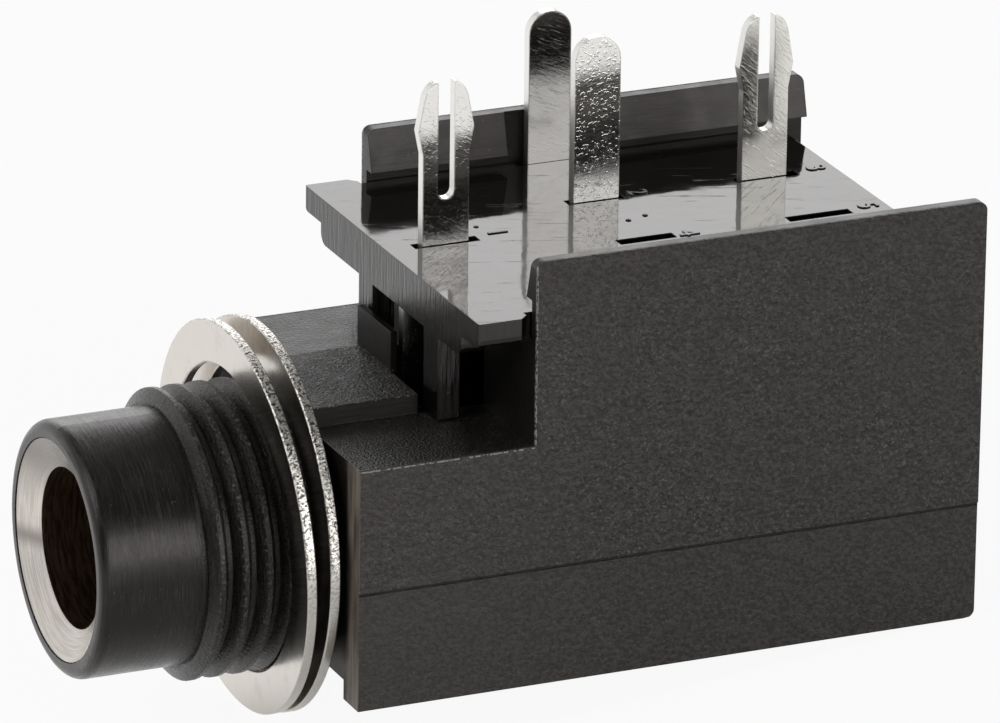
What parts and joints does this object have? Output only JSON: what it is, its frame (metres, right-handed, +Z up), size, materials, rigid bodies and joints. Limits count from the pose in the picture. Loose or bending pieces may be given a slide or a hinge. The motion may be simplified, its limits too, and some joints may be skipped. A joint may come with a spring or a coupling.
{
  "type": "quarter-inch jack socket",
  "caption": "Black moulded quarter-inch jack socket with a threaded nose, loose washers, a terminal plate and upright terminals for a circuit board.",
  "frame": {"origin": "on the axis of the plug bore, in the plane of the housing's front face", "axes": "+X along the bore towards the rear of the housing, +Y to the side with the outer terminal, +Z up towards the circuit board"},
  "size_m": [0.0362, 0.0176, 0.0252],
  "materials": {
    "moulding": "fine spark-eroded grain",
    "gloss_moulding": "mirror gloss",
    "nickel_turned": "turned, dull nickel plate",
    "nickel_stamped": "bright nickel plate with fine scratches",
    "nickel_washer": "bright nickel plate with worn edges"
  },
  "bodies": {
    "root": {"housing": "moulding", "terminal_plate": "gloss_moulding", "ferrule": "nickel_turned", "earth_contact": "nickel_stamped", "ring_contact": "nickel_stamped", "tip_contact": "nickel_stamped", "switch_contact": "nickel_stamped", "front_washer": "nickel_washer", "rear_washer": "nickel_washer"}
  },
  "joints": []
}
